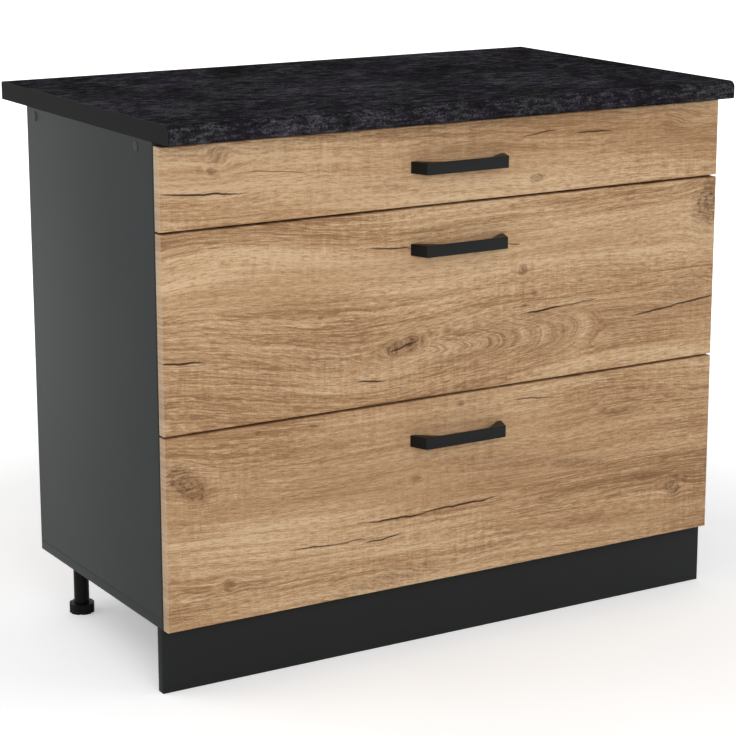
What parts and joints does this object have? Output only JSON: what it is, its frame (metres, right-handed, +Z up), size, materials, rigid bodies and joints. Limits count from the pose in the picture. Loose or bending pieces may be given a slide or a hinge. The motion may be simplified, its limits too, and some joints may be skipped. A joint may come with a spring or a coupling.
{
  "type": "base cabinet with drawers",
  "caption": "Kitchen base cabinet with pull-out drawers on roller runners, bow handles, a deep worktop, a clipped plinth and levelling feet.",
  "frame": {"origin": "on the floor under the middle of the worktop's footprint", "axes": "+X along the front to the right as seen by the user, +Y from the drawer fronts to the wall, +Z up"},
  "size_m": [1.003, 0.6, 0.85],
  "materials": {
    "carcass_board": "matt anthracite melamine",
    "hardboard": "matt lacquered hardboard",
    "plinth_board": "matt dark melamine",
    "worktop_laminate": "matt slate laminate",
    "edge_strip": "matt black",
    "zinc_steel": "zinc plated",
    "nylon": "natural nylon",
    "oak_front": "oak decor with an open grain",
    "handle_black": "matt black powder coat",
    "side_steel": "silver grey powder coat",
    "drawer_board": "light grey melamine",
    "leg_plastic": "black moulded",
    "cap_plastic": "matt anthracite",
    "bumper_rubber": "soft clear"
  },
  "bodies": {
    "cabinet": {"back_panel": "hardboard", "bottom_panel": "carcass_board", "bumpers": "bumper_rubber", "cover_caps": "cap_plastic", "front_rail": "carcass_board", "leg_front_left": "leg_plastic", "leg_front_right": "leg_plastic", "leg_rear_left": "leg_plastic", "leg_rear_right": "leg_plastic", "plinth_clips": "leg_plastic", "plinth_panel": "plinth_board", "rear_rail": "carcass_board", "runner_low_left": "zinc_steel", "runner_low_right": "zinc_steel", "runner_middle_left": "zinc_steel", "runner_middle_right": "zinc_steel", "runner_top_left": "zinc_steel", "runner_top_right": "zinc_steel", "side_left": "carcass_board", "side_right": "carcass_board", "worktop": "worktop_laminate", "worktop_brackets": "zinc_steel", "worktop_strip_left": "edge_strip", "worktop_strip_right": "edge_strip"},
    "drawer_top": {"drawer_back_top": "drawer_board", "drawer_floor_top": "drawer_board", "drawer_side_top_left": "side_steel", "drawer_side_top_right": "side_steel", "front_brackets_top": "zinc_steel", "front_top": "oak_front", "handle_top": "handle_black"},
    "drawer_rollers_top": {"drawer_rollers_top": "nylon"},
    "runner_rollers_top": {"runner_rollers_top": "nylon"},
    "drawer_middle": {"drawer_back_middle": "drawer_board", "drawer_floor_middle": "drawer_board", "drawer_side_middle_left": "side_steel", "drawer_side_middle_right": "side_steel", "front_brackets_middle": "zinc_steel", "front_middle": "oak_front", "handle_middle": "handle_black", "railing_middle_left": "side_steel", "railing_middle_right": "side_steel"},
    "drawer_rollers_middle": {"drawer_rollers_middle": "nylon"},
    "runner_rollers_middle": {"runner_rollers_middle": "nylon"},
    "drawer_low": {"drawer_back_low": "drawer_board", "drawer_floor_low": "drawer_board", "drawer_side_low_left": "side_steel", "drawer_side_low_right": "side_steel", "front_brackets_low": "zinc_steel", "front_low": "oak_front", "handle_low": "handle_black", "railing_low_left": "side_steel", "railing_low_right": "side_steel"},
    "drawer_rollers_low": {"drawer_rollers_low": "nylon"},
    "runner_rollers_low": {"runner_rollers_low": "nylon"},
    "foot_front_left": {"foot_front_left": "leg_plastic"},
    "foot_front_right": {"foot_front_right": "leg_plastic"},
    "foot_rear_left": {"foot_rear_left": "leg_plastic"},
    "foot_rear_right": {"foot_rear_right": "leg_plastic"}
  },
  "joints": [
    {"name": "drawer_top_slide", "type": "slide", "parent": "cabinet", "child": "drawer_top", "axis": [0, -1, 0], "range_m": [0, 0.31]},
    {"name": "drawer_middle_slide", "type": "slide", "parent": "cabinet", "child": "drawer_middle", "axis": [0, -1, 0], "range_m": [0, 0.31]},
    {"name": "drawer_low_slide", "type": "slide", "parent": "cabinet", "child": "drawer_low", "axis": [0, -1, 0], "range_m": [0, 0.31]},
    {"name": "runner_rollers_top_spin", "type": "hinge", "parent": "cabinet", "child": "runner_rollers_top", "pos_m": [0, -0.231, 0.7227], "axis": [1, 0, 0], "range_deg": [-5, 1880]},
    {"name": "drawer_rollers_top_spin", "type": "hinge", "parent": "drawer_top", "child": "drawer_rollers_top", "pos_m": [0, 0.138, 0.7189], "axis": [1, 0, 0], "range_deg": [-5, 1880]},
    {"name": "runner_rollers_middle_spin", "type": "hinge", "parent": "cabinet", "child": "runner_rollers_middle", "pos_m": [0, -0.231, 0.4422], "axis": [1, 0, 0], "range_deg": [-5, 1880]},
    {"name": "drawer_rollers_middle_spin", "type": "hinge", "parent": "drawer_middle", "child": "drawer_rollers_middle", "pos_m": [0, 0.138, 0.4384], "axis": [1, 0, 0], "range_deg": [-5, 1880]},
    {"name": "runner_rollers_low_spin", "type": "hinge", "parent": "cabinet", "child": "runner_rollers_low", "pos_m": [0, -0.231, 0.1447], "axis": [1, 0, 0], "range_deg": [-5, 1880]},
    {"name": "drawer_rollers_low_spin", "type": "hinge", "parent": "drawer_low", "child": "drawer_rollers_low", "pos_m": [0, 0.138, 0.1409], "axis": [1, 0, 0], "range_deg": [-5, 1880]},
    {"name": "foot_front_left_screw", "type": "slide", "parent": "cabinet", "child": "foot_front_left", "axis": [0, 0, -1], "range_m": [0, 0.02]},
    {"name": "foot_front_right_screw", "type": "slide", "parent": "cabinet", "child": "foot_front_right", "axis": [0, 0, -1], "range_m": [0, 0.02]},
    {"name": "foot_rear_left_screw", "type": "slide", "parent": "cabinet", "child": "foot_rear_left", "axis": [0, 0, -1], "range_m": [0, 0.02]},
    {"name": "foot_rear_right_screw", "type": "slide", "parent": "cabinet", "child": "foot_rear_right", "axis": [0, 0, -1], "range_m": [0, 0.02]}
  ],
  "couplings": [
    {"joint": "runner_rollers_top_spin", "follows": "drawer_top_slide", "rad_per_m": 105.26},
    {"joint": "drawer_rollers_top_spin", "follows": "drawer_top_slide", "rad_per_m": 105.26},
    {"joint": "runner_rollers_middle_spin", "follows": "drawer_middle_slide", "rad_per_m": 105.26},
    {"joint": "drawer_rollers_middle_spin", "follows": "drawer_middle_slide", "rad_per_m": 105.26},
    {"joint": "runner_rollers_low_spin", "follows": "drawer_low_slide", "rad_per_m": 105.26},
    {"joint": "drawer_rollers_low_spin", "follows": "drawer_low_slide", "rad_per_m": 105.26}
  ]
}
